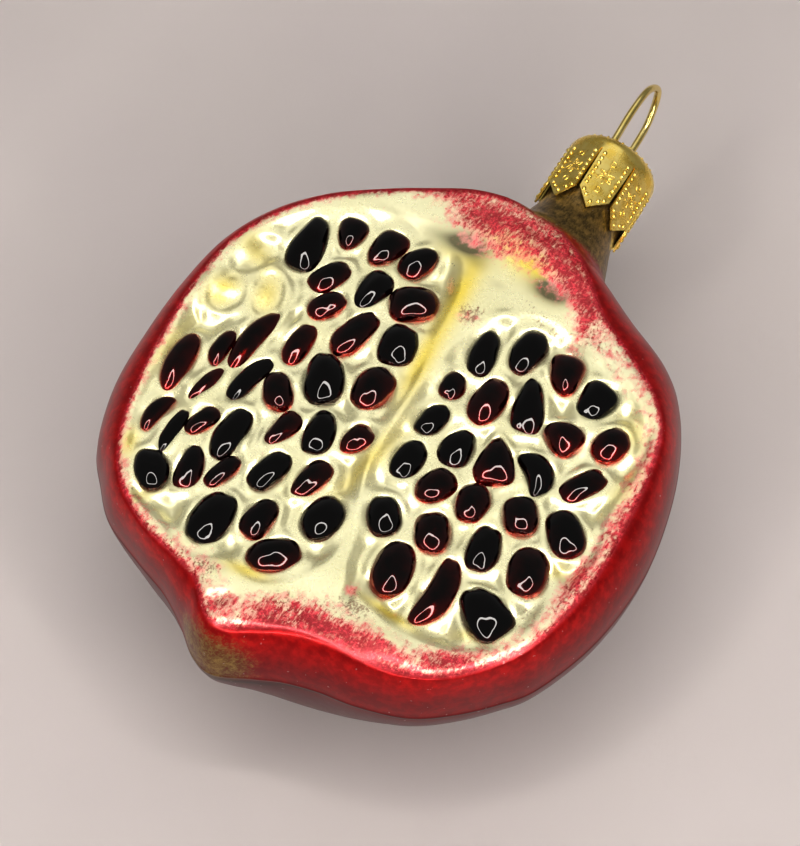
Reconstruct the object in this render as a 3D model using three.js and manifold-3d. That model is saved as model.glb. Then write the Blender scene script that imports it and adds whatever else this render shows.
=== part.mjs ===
// A hanging ornament of blown glass, moulded as one half of a cut pomegranate and lying on its rounded back.
// Millimetres. +Z is up, square to the cut face, and +Y runs along the neck to the wire loop.
// The origin lies on the small flat spot that the glass rests on.
import * as THREE from "three";
import { mergeVertices } from "three/addons/utils/BufferGeometryUtils.js";
import Module from "manifold-3d";

// The glass
const SEAM_Z = 22; // height of the mould seam, which also holds the neck's axis
const FACE_Z = 30; // height of the cut face's edge
const BACK_RADIUS = 31.5; // the back without the nose and the corners of the seam
const FLAT_RADIUS = 7; // the flat spot under the glass
const WALL = 0.9; // thickness of the glass
const PITH_DEPTH = 0.9; // how far the pith round the seeds lies below the rim of the face
const PITH_SLOPE = 1.1; // how far the sides of the two seed chambers slope in
const NECK_RADIUS = 5.05;
const MOUTH_Y = 47; // the open end of the neck
const BODY_MIDDLE = new THREE.Vector2(-1, 0);

// The stamped metal cap and the wire hanger
const SHEET = 0.4; // thickness of the cap's metal
const CAP_RADIUS = 5.77; // outside of the cap below its shoulder
const CAP_TOP_Y = 48.4;
const CAP_SHOULDER = 1.6; // radius of the rounded shoulder
const TAB_COUNT = 8;
const TAB_TURN = 14; // degrees from straight up to the middle of the first tab
const TAB_TIP_Y = 37.8;
const TAB_POINT = 1.95; // how far the tip stands below the tab's corners
const SLIT_TOP_Y = 45.9;
const SLIT_WIDTH = [0.2, 0.5]; // at its top and at the tab's corners
const WIRE = 0.9; // diameter of the wire
const HOLE_RADIUS = 0.85; // the two holes that the wire goes through
const LEG_SPREAD = 3.3; // from the middle of the loop to each leg at the cap
const LOOP_TURN = 94; // degrees from +X to the loop's plane, seen from the loop
const LOOP_SHIFT = -0.55; // the loop's middle beside the neck's axis

// The neck, the cap and the loop lean a little to the left
const NECK_LEAN = 3; // degrees
const NECK_FOOT = new THREE.Vector3(0.4, 34, 0); // where the leaning axis starts

// The glass in plan at the mould seam, from the nose at the flower end round to the right
const SEAM_OUTLINE = [
  [-2.5, -34.3], [1.6, -32.3], [4.7, -30.8], [8.5, -29.7], [13, -28.9], [18.5, -27], [22.6, -23.9],
  [26, -20.2], [28.6, -16.4], [30.9, -8.8], [31.5, -1], [30.7, 6], [28.2, 14.4], [24.4, 21.6], [20.2, 25.8],
  [14, 28.8], [9.5, 31], [5.5, 32.8], [0, 33.6], [-5.5, 33.9], [-10.2, 33], [-14, 31], [-19.5, 27.5],
  [-25.6, 23.1], [-30, 17.6], [-32.6, 11], [-33.4, 3.5], [-33.2, -4], [-32.2, -11.3], [-29.6, -18],
  [-26.5, -21.7], [-22.8, -25.1], [-17, -27.5], [-12.5, -29.1], [-8.6, -31.4], [-5.6, -33.6],
];

// The edge of the cut face in plan, in the same order
const FACE_OUTLINE = [
  [-4, -32.2], [-1.5, -31.8], [1, -30.2], [4, -28.4], [8, -27.4], [14, -27], [18, -25.9], [22, -23.4],
  [25.5, -19.2], [27.7, -14.5], [28.9, -7], [28.7, 0], [27.6, 8], [25.6, 15], [22, 19.2], [17, 22.2],
  [12, 25], [8, 28.4], [4, 31.2], [0, 32.6], [-4.5, 32.8], [-9.5, 31.6], [-14, 29], [-19, 25.6],
  [-24, 21.4], [-28, 16], [-30.2, 10], [-30.5, 3], [-29.7, -4], [-28.5, -10.5], [-26.2, -17.8],
  [-22.6, -23], [-17.5, -26.2], [-12, -27.7], [-8.5, -28.8], [-6, -31],
];

// The two sunk chambers that hold the seeds, in plan at the level of the rim
const LEFT_CHAMBER = [
  [-0.8, -23.6], [1.9, -19.5], [2, -15], [0.9, -10.5], [-0.9, -6.5], [-1.6, -1], [-2.2, 5], [-3.4, 11],
  [-4.4, 17], [-6.8, 22], [-11, 23.3], [-16, 22.6], [-21.5, 19.8], [-25.5, 16], [-28.4, 9.5], [-28.9, 2],
  [-28, -6], [-26.6, -12], [-24.4, -18], [-21, -22.8], [-15, -24.6], [-10.5, -26], [-6.5, -24.4], [-3.5, -25],
];
const RIGHT_CHAMBER = [
  [11, -20.9], [16, -20.9], [21.5, -19.3], [25, -15.5], [25.2, -9], [26.6, -3], [25.2, 3], [24.8, 11],
  [22, 15.5], [17.5, 18.2], [12, 19.3], [7, 20], [3, 18], [0.8, 14], [0.2, 8], [0.3, 2], [0.5, -4],
  [1.6, -9.5], [4.2, -14], [6.2, -19],
];

// The seeds: middle across and along the face, length, width, which way the narrow end points
// in degrees from +X, how much it narrows, and how far its middle is bent to the left of that way
const SEEDS = [
  [-22.1, 14.7, 7.6, 3.9, 99, 0.25, 0], [-18.7, 18.5, 4.4, 3.3, 281, 0.3, 0], [-14.2, 19, 5.3, 3.5, 259, 0.2, 0],
  [-10, 19.4, 5, 3.3, 65, 0.1, 0], [-17.5, 12.2, 5.3, 3.3, 62, 0.1, 0], [-12.4, 13.2, 5.6, 3.4, 266, 0.2, 0],
  [-7.4, 14.2, 5.7, 4.6, 35, 0.05, 0], [-15.7, 8.8, 4.6, 3, 60, 0.1, 0], [-10.9, 7.3, 6.8, 3.5, 76, 0.05, 0],
  [-5.8, 8.6, 5.5, 4.4, 105, 0.05, 0], [-5.2, 2.2, 5.9, 4.4, 270, 0.15, 0], [-15.5, 2.7, 5.8, 2.8, 93, 0.05, 0],
  [-10.5, 0.4, 6.4, 4.6, 120, 0.1, 0], [-20.2, 0.5, 8.8, 2.6, 86, 0, 0.3], [-22.6, -2.4, 5, 2.1, 94, 0, 0.2],
  [-25.6, -6.4, 7.7, 3, 97, 0, 0.2], [-21.4, -7.4, 5.5, 1.8, 79, 0, 0.2], [-17.6, -4.3, 7, 2.5, 80, 0, 0.3],
  [-14, -3.8, 5, 3.5, 128, 0.1, 0], [-10.8, -7.7, 5.2, 2.6, 258, 0.3, 0], [-7, -5.8, 5.6, 3.6, 103, 0.05, 0],
  [-3, -4.2, 4.2, 3.2, 250, 0.2, 0], [-24, -13.5, 5.2, 2, 84, 0, 0.5], [-21.1, -14.4, 6, 1.9, 94, 0, 0.1],
  [-19, -11.6, 4.5, 2.5, 250, 0.2, 0], [-15.4, -11.2, 6.8, 3.5, 92, 0, 0], [-9, -12.9, 5.6, 3.4, 80, 0, 0],
  [-4.5, -11.2, 5.4, 3.1, 258, 0.15, 0], [-13.4, -15.7, 5, 2.3, 76, 0, 0], [-16.9, -17.3, 5.6, 2.9, 106, 0.1, -0.2],
  [-20.2, -19.9, 5.1, 3.9, 310, 0.1, 0], [-11.1, -21.4, 7.2, 4.5, 87, 0, 0], [-6.6, -18.5, 5.4, 3.4, 88, 0.05, 0],
  [-2.7, -21.4, 6, 4.1, 42, 0, 0], [-0.6, -14.7, 5.6, 4.5, 80, 0, 0],
  [2.9, 13.1, 6.1, 3.3, 104, 0.1, 0], [7, 16, 5.8, 3.8, 270, 0.1, 0], [12.3, 15.8, 5.3, 3.9, 295, 0.25, 0],
  [16.9, 14.6, 5.1, 4, 268, 0.2, 0], [21.2, 10.7, 4.7, 3.9, 70, 0.05, 0], [21.4, 4.5, 5.7, 3.1, 62, 0, 0],
  [16.2, 8.6, 4.6, 4.1, 172, 0.3, 0], [10.9, 9.9, 6.9, 3.5, 112, 0.25, 0], [6.7, 7.9, 6.5, 3.8, 94, 0.05, 0],
  [2.2, 7.5, 3.7, 2.9, 100, 0, 0], [2.7, 2.6, 4.6, 3, 75, 0, 0], [7, 1.1, 5, 3.6, 88, 0.2, 0],
  [11.6, 1.9, 6.2, 4.1, 117, 0.5, 0], [16, 3, 5.8, 3.2, 143, 0, -0.6], [22.9, -1.8, 5.8, 4.3, 315, 0, 0],
  [17.6, -2.5, 5, 4.1, 310, 0.1, 0], [12.2, -4, 4.9, 3.8, 280, 0.05, 0], [7.6, -4.5, 4.8, 3.9, 250, 0.1, 0],
  [3.2, -3.3, 5.3, 3.4, 92, 0, 0], [4.9, -10.7, 5, 4, 125, 0.05, 0], [10.4, -9.5, 4.9, 4.1, 120, 0.05, 0],
  [16.3, -8.2, 5.7, 3.8, 103, 0.05, 0], [21.9, -8.1, 6, 4.4, 110, 0, 0], [9.4, -15.8, 6.9, 4.6, 105, 0, 0],
  [14.8, -15.6, 9.2, 3.3, 92, 0, -0.6], [20.6, -14.9, 6.8, 5.1, 155, 0.25, 0],
].map(([x, y, length, width, turn, taper, bend]) => ({ x, y, length, width, turn, taper, bend }));
const SEED_RISE = 0.38; // height of a seed over its outline, as a share of its width
const SEED_ROOT = 0.6; // how deep a seed's foot is sunk into the glass

// Low empty cells of the pith, given like the seeds, and two dimples beside the neck: middle and radius
const EMPTY_CELLS = [
  [-26.6, 10.3, 6, 3.4, 70, 0, 0], [-26.6, 3.8, 5, 4.2, 90, 0, 0], [-22.4, 6.4, 5.4, 3.2, 110, 0, 0],
].map(([x, y, length, width, turn, taper, bend]) => ({ x, y, length, width, turn, taper, bend }));
const CELL_RISE = 0.16;
const DIMPLES = [{ x: -5, y: 24.3, radius: 1.6 }, { x: 5.3, y: 24.7, radius: 1.6 }];
const DIMPLE_DEPTH = 0.5;

// How fine the meshes are
const ROUND_SIDES = 96; // points round the glass
const CAVITY_SIDES = 44;
const SEED_SIDES = 12;
const LATHE_SIDES = 40;
const WIRE_STEPS = 64;
const WIRE_SIDES = 8;
const CHAMBER_SIDES = 72;
const RIM_PROFILE = [[0.25, 0.07], [0.6, 0.3], [0.88, 0.62], [1, 1]]; // from face to seam: out, and down

const wasm = await Module();
wasm.setup();

// A closed geometry as a solid that can be joined and cut
function solid(geometry) {
  const bare = geometry.clone();
  bare.deleteAttribute("normal");
  bare.deleteAttribute("uv");
  const merged = mergeVertices(bare, 1e-4);
  return new wasm.Manifold(
    new wasm.Mesh({
      numProp: 3,
      vertProperties: new Float32Array(merged.attributes.position.array),
      triVerts: new Uint32Array(merged.index.array),
    }),
  );
}

// A solid back as a geometry with flat-shaded faces
function geometryOf(made) {
  const { vertProperties, triVerts } = made.getMesh();
  const indexed = new THREE.BufferGeometry()
    .setAttribute("position", new THREE.BufferAttribute(vertProperties, 3))
    .setIndex(new THREE.BufferAttribute(triVerts, 1));
  const flat = indexed.toNonIndexed();
  flat.computeVertexNormals();
  return flat;
}

// A closed skin over a stack of rings of points, each ring counterclockwise seen from above,
// the first ring highest, with a point to close each end
function skin(rings, topPoint, bottomPoint) {
  const sides = rings[0].length;
  const points = [...rings.flat(), topPoint, bottomPoint];
  const top = points.length - 2;
  const bottom = points.length - 1;
  const faces = [];
  for (let i = 0; i < sides; i++) {
    const j = (i + 1) % sides;
    faces.push(top, i, j);
    for (let r = 0; r < rings.length - 1; r++) {
      const [a, b] = [r * sides, (r + 1) * sides];
      faces.push(a + i, b + i, b + j, a + i, b + j, a + j);
    }
    const last = (rings.length - 1) * sides;
    faces.push(bottom, last + j, last + i);
  }
  return new THREE.BufferGeometry().setFromPoints(points).setIndex(faces);
}

const smooth = (from, to, value) => THREE.MathUtils.smoothstep(value, from, to);
const lerp = THREE.MathUtils.lerp;

// One seed chamber as a shallow pocket with sloping sides
function chamberGeometry(outline) {
  const points = outline.map(([x, y]) => new THREE.Vector3(x, y, 0));
  const curve = new THREE.CatmullRomCurve3(points, true);
  const around = curve.getSpacedPoints(CHAMBER_SIDES).slice(0, CHAMBER_SIDES);
  const middle = around.reduce((sum, p) => sum.add(p), new THREE.Vector3()).divideScalar(CHAMBER_SIDES);
  const ring = (inward, z) =>
    around.map((p) => {
      const way = p.clone().sub(middle);
      return way.multiplyScalar(1 - inward / way.length()).add(middle).setZ(z);
    });
  const floor = FACE_Z - PITH_DEPTH;
  const rings = [ring(0, FACE_Z + 1), ring(0, FACE_Z), ring(PITH_SLOPE, floor)];
  return skin(rings, middle.clone().setZ(FACE_Z + 1), middle.clone().setZ(floor));
}

// An outline as a smooth closed curve seen from the body's middle: directions and how far it reaches
function polar(outline, count) {
  const curve = new THREE.CatmullRomCurve3(outline.map(([x, y]) => new THREE.Vector3(x, y, 0)), true);
  return curve.getSpacedPoints(count).slice(0, count).map((p) => {
    const ray = new THREE.Vector2(p.x, p.y).sub(BODY_MIDDLE);
    return { angle: ray.angle(), reach: ray.length() };
  });
}

const turnBetween = (a, b) => Math.abs(Math.atan2(Math.sin(a - b), Math.cos(a - b)));

// The glass from its face down to the flat spot, drawn in by `inward` on every side
function bodyGeometry(inward, sides) {
  const edge = polar(FACE_OUTLINE, 720);
  const rays = polar(SEAM_OUTLINE, sides).map(({ angle, reach }) => {
    const nearest = edge.reduce((a, b) => (turnBetween(a.angle, angle) < turnBetween(b.angle, angle) ? a : b));
    return { angle, seam: reach - inward, face: nearest.reach - inward };
  });
  const ringOf = (reachOf, z) =>
    rays.map((ray) => {
      const reach = reachOf(ray);
      const [x, y] = [reach * Math.cos(ray.angle), reach * Math.sin(ray.angle)];
      return new THREE.Vector3(BODY_MIDDLE.x + x, BODY_MIDDLE.y + y, z);
    });
  const top = FACE_Z - inward;
  const ceiling = inward ? top - PITH_DEPTH : top;
  const rings = [ringOf((ray) => ray.face - 0.5, ceiling)];
  for (const [share, drop] of RIM_PROFILE)
    rings.push(ringOf((ray) => lerp(ray.face, ray.seam, share), lerp(ceiling, SEAM_Z, drop)));
  const backSteps = inward ? 4 : 8;
  for (let step = 1; step <= backSteps; step++) {
    const angle = ((step / backSteps) * Math.PI) / 2;
    const depth = (SEAM_Z - inward) * Math.sin(angle);
    const round = smooth(0, 0.35, step / backSteps);
    const reachOf = (ray) => lerp(FLAT_RADIUS, lerp(ray.seam, BACK_RADIUS - inward, round), Math.cos(angle));
    rings.push(ringOf(reachOf, SEAM_Z - depth));
  }
  const [x, y] = BODY_MIDDLE.toArray();
  return skin(rings, new THREE.Vector3(x, y, ceiling), new THREE.Vector3(x, y, inward));
}

// The neck, or its bore, as a turned profile of radius against distance along the axis
function neckGeometry(inward, mouth) {
  const flare = [
    [7.9, 28], [7.7, 30.5], [7.2, 32.4], [6.5, 34], [5.8, 35.6], [5.3, 37], [NECK_RADIUS, 38.4],
  ];
  const profile = [[0, 26], ...flare, [NECK_RADIUS, mouth], [0, mouth]];
  const points = profile.map(([r, y]) => new THREE.Vector2(Math.max(0, r - (r ? inward : 0)), y));
  return leaning(new THREE.LatheGeometry(points, LATHE_SIDES));
}

// Puts a geometry built about the Y axis onto the leaning axis of the neck
function leaning(geometry) {
  const foot = NECK_FOOT;
  return geometry
    .translate(0, -foot.y, 0)
    .rotateZ(THREE.MathUtils.degToRad(NECK_LEAN))
    .translate(foot.x, foot.y, SEAM_Z);
}

// One seed as a closed dome on a foot, in its own outline
function seedGeometry(seed, riseShare) {
  const way = THREE.MathUtils.degToRad(seed.turn);
  const base = FACE_Z - PITH_DEPTH;
  const rise = seed.width * riseShare;
  const ring = (share, z) =>
    Array.from({ length: SEED_SIDES }, (_, i) => {
      const angle = (i / SEED_SIDES) * Math.PI * 2;
      const narrow = 1 - seed.taper * Math.cos(angle);
      const bow = seed.bend * (0.5 - (Math.cos(angle) * share) ** 2);
      const along = (seed.length / 2) * Math.cos(angle) * share;
      const across = (seed.width / 2) * (Math.sin(angle) * narrow * share + bow);
      const x = seed.x + along * Math.cos(way) - across * Math.sin(way);
      const y = seed.y + along * Math.sin(way) + across * Math.cos(way);
      return new THREE.Vector3(x, y, z);
    });
  const rings = [
    ring(0.5, base + rise * 0.88),
    ring(0.85, base + rise * 0.5),
    ring(1, base - 0.1),
    ring(0.9, base - SEED_ROOT),
  ];
  const middle = rings[0].reduce((sum, p) => sum.add(p), new THREE.Vector3()).divideScalar(SEED_SIDES);
  return skin(rings, middle.clone().setZ(base + rise), middle.clone().setZ(base - SEED_ROOT));
}

// A shallow dent in the face
function dimpleGeometry({ x, y, radius }) {
  const ball = new THREE.SphereGeometry(radius, 10, 6);
  return ball.scale(1, 1, DIMPLE_DEPTH / radius).translate(x, y, FACE_Z);
}

// The glass: the moulded half fruit and its neck with the seeds raised on its face, hollow, open at the neck
function glassGeometry() {
  const outside = solid(bodyGeometry(0, ROUND_SIDES)).add(solid(neckGeometry(0, MOUTH_Y)));
  const raised = [
    ...SEEDS.map((seed) => solid(seedGeometry(seed, SEED_RISE))),
    ...EMPTY_CELLS.map((cell) => solid(seedGeometry(cell, CELL_RISE))),
  ];
  const chambers = [LEFT_CHAMBER, RIGHT_CHAMBER].map((outline) => solid(chamberGeometry(outline)));
  const sunk = chambers.reduce((whole, chamber) => whole.subtract(chamber), outside);
  const withSeeds = raised.reduce((whole, seed) => whole.add(seed), sunk);
  const inside = solid(bodyGeometry(WALL, CAVITY_SIDES)).add(solid(neckGeometry(WALL, MOUTH_Y + 1)));
  const cuts = [inside, ...DIMPLES.map((dimple) => solid(dimpleGeometry(dimple)))];
  return geometryOf(cuts.reduce((whole, cut) => whole.subtract(cut), withSeeds));
}

const loopPlane = THREE.MathUtils.degToRad(LOOP_TURN);

// A point of the loop's plane: across it from the loop's middle, and along the neck's axis
function onLoop(across, along) {
  return new THREE.Vector3(LOOP_SHIFT + across * Math.cos(loopPlane), along, across * Math.sin(loopPlane));
}

// The cap: a turned cup whose skirt is slit into pointed tabs, with two holes for the wire
function capGeometry() {
  const shoulder = (radius, inset) =>
    [0, 30, 60, 90].map((degrees) => {
      const angle = THREE.MathUtils.degToRad(degrees);
      const middle = CAP_RADIUS - CAP_SHOULDER;
      return [middle + radius * Math.sin(angle), CAP_TOP_Y - inset - radius * (1 - Math.cos(angle))];
    });
  const outside = [[0, CAP_TOP_Y], ...shoulder(CAP_SHOULDER, 0), [CAP_RADIUS, TAB_TIP_Y]];
  const underside = shoulder(CAP_SHOULDER - SHEET, SHEET);
  const inside = [[0, CAP_TOP_Y - SHEET], ...underside, [CAP_RADIUS - SHEET, TAB_TIP_Y]];
  const profile = [...inside, ...outside.reverse()].map(([r, y]) => new THREE.Vector2(r, y));
  const cup = solid(new THREE.LatheGeometry(profile, LATHE_SIDES));
  const holes = [-LEG_SPREAD, LEG_SPREAD].map((across) => {
    const at = onLoop(across, CAP_TOP_Y);
    const hole = new THREE.CylinderGeometry(HOLE_RADIUS, HOLE_RADIUS, SHEET * 6, 12);
    return solid(hole.translate(at.x, at.y, at.z));
  });
  const cut = [...slits(), ...holes].reduce((whole, cutting) => whole.subtract(cutting), cup);
  return leaning(geometryOf(cut));
}

// The slits between the tabs, each opening into the notch between two points
function slits() {
  const [narrow, wide] = SLIT_WIDTH;
  const halfPitch = Math.sin(Math.PI / TAB_COUNT) * CAP_RADIUS + 0.05;
  const half = [
    [narrow / 2, SLIT_TOP_Y],
    [wide / 2, TAB_TIP_Y + TAB_POINT],
    [halfPitch, TAB_TIP_Y - 0.05],
  ];
  const points = [...half, ...half.toReversed().map(([x, y]) => [-x, y])];
  const slit = new THREE.Shape(points.map(([x, y]) => new THREE.Vector2(x, y)));
  const cutter = new THREE.ExtrudeGeometry(slit, { depth: CAP_RADIUS * 2, bevelEnabled: false });
  return Array.from({ length: TAB_COUNT }, (_, i) => {
    const degrees = TAB_TURN + ((i + 0.5) * 360) / TAB_COUNT;
    return solid(cutter.clone().rotateY(THREE.MathUtils.degToRad(degrees)));
  });
}

// The hanger: one wire, down inside the neck on both sides and up through the cap into the loop
function wireGeometry() {
  const half = [[3.9, 34], [3.3, 38], [3.2, 42], [LEG_SPREAD, 46], [LEG_SPREAD + 0.1, 48.5], [3.9, 53.5], [3.1, 57.8]];
  const route = [
    ...half.map(([across, along]) => onLoop(-across, along)),
    onLoop(0, 60.2),
    ...half.toReversed().map(([across, along]) => onLoop(across, along)),
  ];
  const section = new THREE.Shape().absarc(0, 0, WIRE / 2, 0, Math.PI * 2);
  const wire = new THREE.ExtrudeGeometry(section, {
    steps: WIRE_STEPS,
    curveSegments: WIRE_SIDES,
    bevelEnabled: false,
    extrudePath: new THREE.CatmullRomCurve3(route),
  });
  return leaning(wire);
}

const paintedGlass = new THREE.MeshStandardMaterial({ color: 0x9c1420, roughness: 0.3, metalness: 0.5 });
const gold = new THREE.MeshStandardMaterial({ color: 0xd9a93a, roughness: 0.3, metalness: 1 });
const goldWire = new THREE.MeshStandardMaterial({ color: 0xc9b24a, roughness: 0.2, metalness: 1 });

function named(name, geometry, material) {
  const mesh = new THREE.Mesh(geometry, material);
  mesh.name = name;
  return mesh;
}

const ornament = new THREE.Group();
ornament.add(named("glass_body", glassGeometry(), paintedGlass));
ornament.add(named("cap", capGeometry(), gold));
ornament.add(named("hanger_wire", wireGeometry(), goldWire));

export default ornament;
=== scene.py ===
# %% [markdown]
# # A blown-glass pomegranate, cut open
# The real thing is a hanging ornament: hot glass blown into a mould, silvered inside and lacquered outside,
# with a stamped metal cap on its neck and a wire loop. It lies on its rounded back. This lesson builds it in
# five steps: the light and the camera, the glass, the seeds, the cap, and the wire. Lengths are written in
# millimetres, as a maker would write them, and become metres when a mesh is made.

# %% The frame that the pieces are built round
import math

import bpy
import numpy as np
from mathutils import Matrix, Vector, noise


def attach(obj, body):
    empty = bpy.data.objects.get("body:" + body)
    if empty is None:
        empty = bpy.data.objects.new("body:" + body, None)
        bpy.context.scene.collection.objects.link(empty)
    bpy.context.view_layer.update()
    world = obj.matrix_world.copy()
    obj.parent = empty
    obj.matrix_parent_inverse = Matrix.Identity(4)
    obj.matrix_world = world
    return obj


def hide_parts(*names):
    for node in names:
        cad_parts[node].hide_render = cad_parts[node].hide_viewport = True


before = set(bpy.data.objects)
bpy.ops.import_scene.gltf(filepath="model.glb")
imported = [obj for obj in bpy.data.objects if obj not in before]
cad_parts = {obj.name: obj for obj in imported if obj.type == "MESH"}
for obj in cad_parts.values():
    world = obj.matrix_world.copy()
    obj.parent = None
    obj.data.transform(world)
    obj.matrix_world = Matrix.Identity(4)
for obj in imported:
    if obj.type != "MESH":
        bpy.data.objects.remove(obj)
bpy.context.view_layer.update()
MM = 0.001  # one millimetre in metres
print("solids:", sorted(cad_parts))

# %% [markdown]
# ## The camera
# A close view down onto the face, from 38 cm away with a long lens, so that near and far parts of the fruit
# keep almost the same scale. The direction is worked out from two angles, as a photographer would name them.

# %% The camera
FACE_Z = 30.0  # height of the cut face
SEAM_Z = 22.0  # height of the mould seam, which also holds the axis of the neck
CAMERA_TURN = math.radians(33)  # round from the flower end
CAMERA_RISE = math.radians(60)  # up from the floor
CAMERA_AWAY = 380
LENS = 143.9  # focal length in millimetres

to_camera = Vector((
    math.sin(CAMERA_TURN) * math.cos(CAMERA_RISE),
    -math.cos(CAMERA_TURN) * math.cos(CAMERA_RISE),
    math.sin(CAMERA_RISE),
))
camera = bpy.data.objects.new("camera", bpy.data.cameras.new("camera"))
camera.data.lens = LENS
camera.location = (Vector((0, 0, FACE_Z)) + to_camera * CAMERA_AWAY) * MM
camera.rotation_mode = "QUATERNION"
camera.rotation_quaternion = (-to_camera).to_track_quat("-Z", "Y")
bpy.context.scene.collection.objects.link(camera)
bpy.context.scene.camera = camera
print("camera at", [round(c, 4) for c in camera.location])

# %% [markdown]
# ## Node trees written as sums
# Every finish below is a node tree. Wiring one node by node is hard to read, so one small class wraps a
# socket and lets Python's own operators add the Math nodes. `1 - mask` then means just that. Any other node
# comes from one method, which sets the node's own settings before its sockets.

# %% A small language for node trees
class Value:
    """A socket of a node tree that can be added, multiplied and so on."""

    def __init__(self, tree, socket):
        self.tree = tree
        self.socket = socket

    def sum(self, operation, *values):
        return self.tree.node("ShaderNodeMath", {"operation": operation}, values)

    def __add__(self, other):
        return self.sum("ADD", self, other)

    def __radd__(self, other):
        return self.sum("ADD", other, self)

    def __sub__(self, other):
        return self.sum("SUBTRACT", self, other)

    def __rsub__(self, other):
        return self.sum("SUBTRACT", other, self)

    def __mul__(self, other):
        return self.sum("MULTIPLY", self, other)

    def __rmul__(self, other):
        return self.sum("MULTIPLY", other, self)

    def __truediv__(self, other):
        return self.sum("DIVIDE", self, other)


class Tree:
    """A node tree whose nodes are made by one method."""

    def __init__(self, tree):
        self.tree = tree

    def node(self, kind, settings=None, sockets=(), out=0):
        made = self.tree.nodes.new(kind)
        for name, value in (settings or {}).items():
            setattr(made, name, value)
        pairs = sockets.items() if isinstance(sockets, dict) else enumerate(sockets)
        for key, value in pairs:
            if isinstance(value, Value):
                self.tree.links.new(value.socket, made.inputs[key])
            else:
                made.inputs[key].default_value = value
        return Value(self, made.outputs[out])

    def smooth(self, value, low, high):
        """0 below low, 1 above high, and a soft step between."""
        settings = {"interpolation_type": "SMOOTHSTEP", "clamp": True}
        return self.node("ShaderNodeMapRange", settings, {0: value, 1: low, 2: high, 3: 0.0, 4: 1.0})

    def blend(self, share, under, over):
        """One colour laid over another."""
        return self.node("ShaderNodeMix", {"data_type": "RGBA"}, {0: share, 6: under, 7: over}, out=2)

    def grain(self, place, per_mm, detail=2.0, rough=0.5, distortion=0.0):
        """Cloudy noise with about per_mm clouds in a millimetre."""
        sockets = {"Vector": place, "Scale": per_mm / MM, "Detail": detail}
        sockets |= {"Roughness": rough, "Distortion": distortion}
        return self.node("ShaderNodeTexNoise", {}, sockets)


def new_finish(name, **constants):
    """A material with its Principled shader's constants set, and its tree to add to."""
    material = bpy.data.materials.new(name)
    material.use_nodes = True
    shader = material.node_tree.nodes["Principled BSDF"]
    for key, value in constants.items():
        shader.inputs[key.replace("_", " ")].default_value = value
    return material, Tree(material.node_tree), shader


def feed(tree, shader, **links):
    """Links values to the shader's sockets."""
    for key, value in links.items():
        tree.tree.links.new(value.socket, shader.inputs[key.replace("_", " ")])


def mesh_object(name, points, faces, material):
    """A smooth-shaded mesh from millimetres, with its object at the origin."""
    mesh = bpy.data.meshes.new(name)
    mesh.from_pydata((np.asarray(points) * MM).tolist(), [], [list(map(int, face)) for face in faces])
    mesh.materials.append(material)
    mesh.shade_smooth()
    made = bpy.data.objects.new(name, mesh)
    bpy.context.scene.collection.objects.link(made)
    return made


def smooth_step(low, high, value):
    """0 up to low, 1 from high on, and a soft step between."""
    share = np.clip((value - low) / (high - low), 0, 1)
    return share * share * (3 - 2 * share)


# %% [markdown]
# ## The light
# Small shiny seeds show every lamp as a glint. A ring lamp round the camera gives each seed one small bright
# ring. A large soft panel overhead fills the rest and puts a gloss on the pale glass. In the dark seeds it
# would show as a grey patch, so light linking leaves them out. The floor is a plain pale sheet.

# %% Floor, panel and ring lamp
RING_ANGLE = math.radians(30)  # between the ring and the camera, seen from the fruit
RING_TUBE = 17  # radius of the lamp's tube
FLOOR_REACH = 1500
FLOOR_GAP = 0.05  # keeps the floor clear of the glass's flat spot
PANEL_PLACE = Vector((-0.25, 0.39, 0.82))  # in metres, as lamps are placed
PANEL_TARGET = Vector((0, 0, 0.03))

stage_scene = bpy.context.scene
stage_scene.view_settings.view_transform = "Standard"
stage_scene.view_settings.look = "Medium High Contrast"

floor_finish, tree, shader = new_finish("pale_sheet", Roughness=0.55)
where = tree.node("ShaderNodeTexCoord", out="Object")
mottle = tree.grain(where, 0.03, detail=3.0)
feed(tree, shader, Base_Color=tree.blend(mottle, (0.46, 0.415, 0.405, 1), (0.52, 0.47, 0.458, 1)))
corners = [(x * FLOOR_REACH, y * FLOOR_REACH, 0) for x, y in ((-1, -1), (1, -1), (1, 1), (-1, 1))]
floor = mesh_object("floor", corners, [(0, 1, 2, 3)], floor_finish)
floor.location.z = -FLOOR_GAP * MM

world = bpy.data.worlds.new("room")
stage_scene.world = world
world.use_nodes = True
room = world.node_tree.nodes["Background"]
room.inputs["Color"].default_value = (1, 0.98, 0.96, 1)
room.inputs["Strength"].default_value = 0.21

panel = bpy.data.objects.new("overhead_panel", bpy.data.lights.new("overhead_panel", "AREA"))
panel.data.shape = "DISK"
panel.data.size = 0.9
panel.data.energy = 1.2
panel.location = PANEL_PLACE
panel.rotation_mode = "QUATERNION"
panel.rotation_quaternion = (PANEL_TARGET - PANEL_PLACE).to_track_quat("-Z", "Y")
stage_scene.collection.objects.link(panel)
unlit = bpy.data.collections.new("not_lit_by_the_panel")
panel.light_linking.receiver_collection = unlit

glow, _, shader = new_finish("ring_glow", Roughness=1.0, Base_Color=(0, 0, 0, 1), Emission_Strength=15.5)
shader.inputs["Emission Color"].default_value = (1, 0.97, 0.93, 1)


def faces_between(a, b, sides):
    """Faces between two rings of points, by the numbers a and b of their first points."""
    return [(a + i, a + (i + 1) % sides, b + (i + 1) % sides, b + i) for i in range(sides)]


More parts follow.
